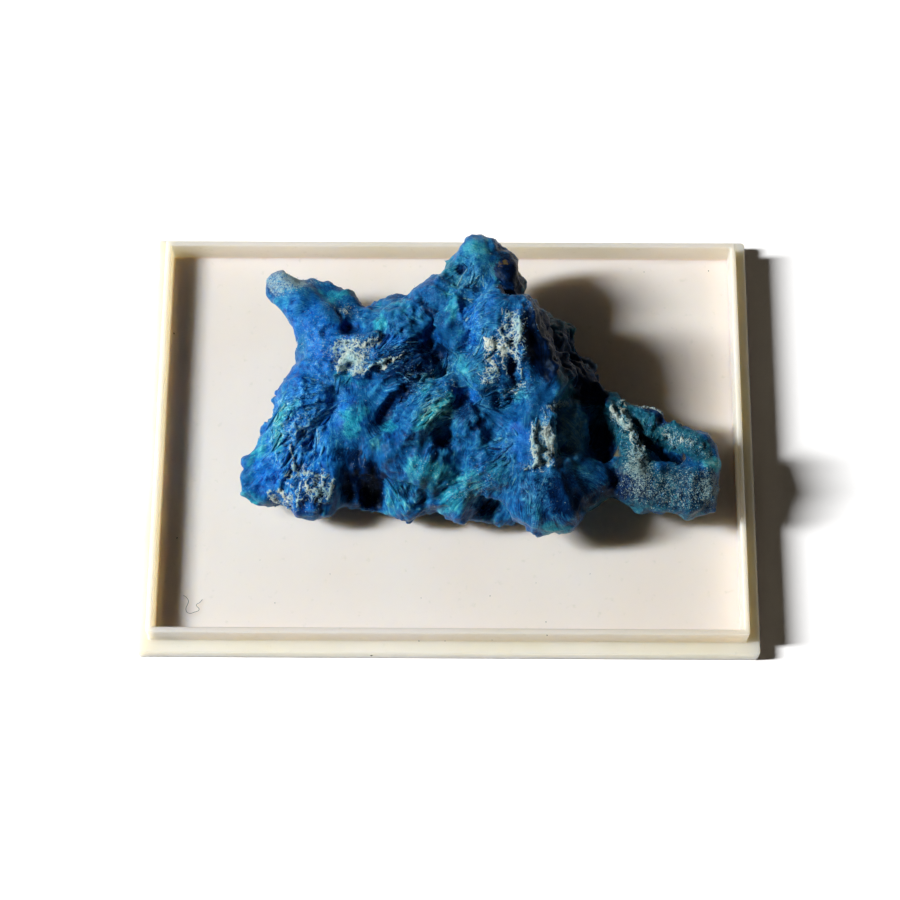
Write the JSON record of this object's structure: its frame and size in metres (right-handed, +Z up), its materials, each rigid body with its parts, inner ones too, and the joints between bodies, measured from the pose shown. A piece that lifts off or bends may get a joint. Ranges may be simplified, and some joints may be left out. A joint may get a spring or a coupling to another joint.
{
  "type": "chalcanthite crystal specimen",
  "caption": "Blue fibrous chalcanthite mass with a peak, a raised tip and a hollowed limb, resting loose in a shallow cream plastic specimen tray.",
  "frame": {"origin": "under the middle of the tray, on the surface that it stands on", "axes": "+X along the tray's length, towards the hollowed limb's end; +Y towards the tray's back; +Z up"},
  "size_m": [0.12, 0.087, 0.0346],
  "materials": {
    "chalcanthite": "waxy to glassy, slightly translucent",
    "cream polystyrene": "smooth moulded, slightly translucent"
  },
  "bodies": {
    "root": {"chalcanthite": "chalcanthite", "tray": "cream polystyrene"}
  },
  "joints": []
}
